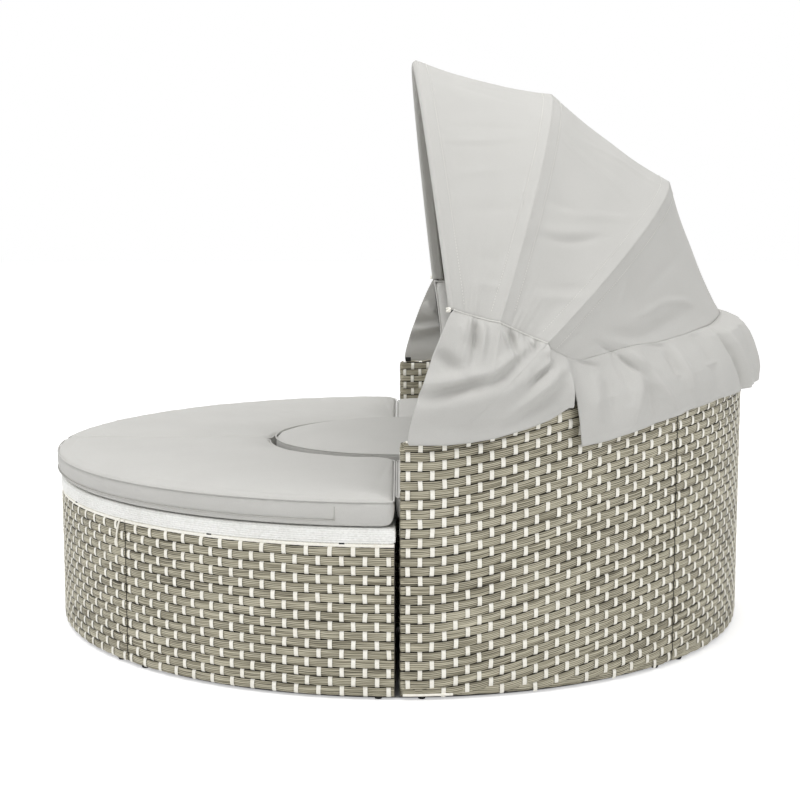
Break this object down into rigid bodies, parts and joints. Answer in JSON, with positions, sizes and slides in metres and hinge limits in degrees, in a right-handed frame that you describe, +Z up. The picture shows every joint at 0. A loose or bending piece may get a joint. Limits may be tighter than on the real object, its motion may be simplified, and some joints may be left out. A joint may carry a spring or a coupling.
{
  "type": "outdoor daybed",
  "caption": "Round outdoor daybed: woven half-round sofa and ottoman around a round stool, quarter-ring cushions, throw pillows and a cloth canopy that folds back on hinged bows.",
  "frame": {"origin": "centre of the round bed on the floor, under the middle of the stool", "axes": "+Z up; +Y towards the back of the sofa and its folded canopy, -Y towards the ottoman; +X towards the arm that carries the front bow's near hinge in the picture"},
  "size_m": [1.8652, 1.8404, 1.4464],
  "materials": {
    "wicker": "flat woven resin ribbons in greige with pale upright strands",
    "rim": "white woven resin strand",
    "bow_tube": "dark powder coat",
    "bracket": "dark powder coat",
    "bolt": "plain zinc-plated",
    "glide": "matt black",
    "seat_cloth": "pale grey outdoor weave",
    "canopy_cloth": "pale grey coated outdoor cloth"
  },
  "bodies": {
    "sofa": {"wall_panel_1": "wicker", "wall_panel_2": "wicker", "wall_panel_3": "wicker", "wall_panel_4": "wicker", "sofa_apron_right": "wicker", "sofa_apron_left": "wicker", "sofa_well_panel": "wicker", "sofa_deck": "rim", "sofa_cushion_right": "seat_cloth", "sofa_cushion_left": "seat_cloth", "pillow_right": "seat_cloth", "pillow_left": "seat_cloth", "sofa_foot_1": "glide", "sofa_foot_2": "glide", "sofa_foot_3": "glide", "sofa_foot_4": "glide", "sofa_foot_5": "glide", "sofa_foot_6": "glide", "sofa_foot_7": "glide", "sofa_foot_8": "glide", "hinge_bracket_right": "bracket", "hinge_bracket_left": "bracket", "hinge_bolt_right": "bolt", "hinge_bolt_left": "bolt", "canopy_bow_rear": "bow_tube", "canopy_gore_rear": "canopy_cloth", "canopy_skirt_rear": "canopy_cloth", "arm_stop_right": "glide", "arm_stop_left": "glide"},
    "ottoman": {"ottoman_panel_1": "wicker", "ottoman_panel_2": "wicker", "ottoman_panel_3": "wicker", "ottoman_panel_4": "wicker", "ottoman_apron_right": "wicker", "ottoman_apron_left": "wicker", "ottoman_well_panel": "wicker", "ottoman_deck": "rim", "ottoman_cushion_right": "seat_cloth", "ottoman_cushion_left": "seat_cloth", "ottoman_foot_1": "glide", "ottoman_foot_2": "glide", "ottoman_foot_3": "glide", "ottoman_foot_4": "glide", "ottoman_foot_5": "glide", "ottoman_foot_6": "glide", "ottoman_foot_7": "glide", "ottoman_foot_8": "glide"},
    "stool": {"stool_drum": "wicker", "stool_deck": "rim", "stool_cushion": "seat_cloth", "stool_foot_1": "glide", "stool_foot_2": "glide", "stool_foot_3": "glide"},
    "third_bow": {"canopy_bow_third": "bow_tube", "canopy_gore_middle": "canopy_cloth", "canopy_skirt_right": "canopy_cloth", "canopy_skirt_left": "canopy_cloth"},
    "second_bow": {"canopy_bow_second": "bow_tube", "canopy_gore_front": "canopy_cloth"},
    "front_bow": {"canopy_bow_front": "bow_tube"}
  },
  "joints": [
    {"name": "canopy_fold", "type": "hinge", "parent": "sofa", "child": "third_bow", "pos_m": [0, 0.145, 0.604], "axis": [-1, 0, 0], "range_deg": [0, 20], "deforming": ["canopy_gore_rear", "canopy_skirt_rear", "canopy_skirt_right", "canopy_skirt_left"]},
    {"name": "second_bow_fold", "type": "hinge", "parent": "third_bow", "child": "second_bow", "pos_m": [0, 0.145, 0.604], "axis": [-1, 0, 0], "range_deg": [0, 20], "deforming": ["canopy_gore_middle"]},
    {"name": "front_bow_fold", "type": "hinge", "parent": "second_bow", "child": "front_bow", "pos_m": [0, 0.145, 0.604], "axis": [-1, 0, 0], "range_deg": [0, 17.4], "deforming": ["canopy_gore_front"]},
    {"name": "ottoman_slide", "type": "slide", "parent": "sofa", "child": "ottoman", "axis": [0, -1, 0], "range_m": [0, 0.9]},
    {"name": "stool_lift", "type": "slide", "parent": "sofa", "child": "stool", "axis": [0, 0, 1], "range_m": [0, 0.5]}
  ],
  "couplings": [
    {"joint": "second_bow_fold", "follows": "canopy_fold", "ratio": 1},
    {"joint": "front_bow_fold", "follows": "canopy_fold", "ratio": 0.87}
  ]
}
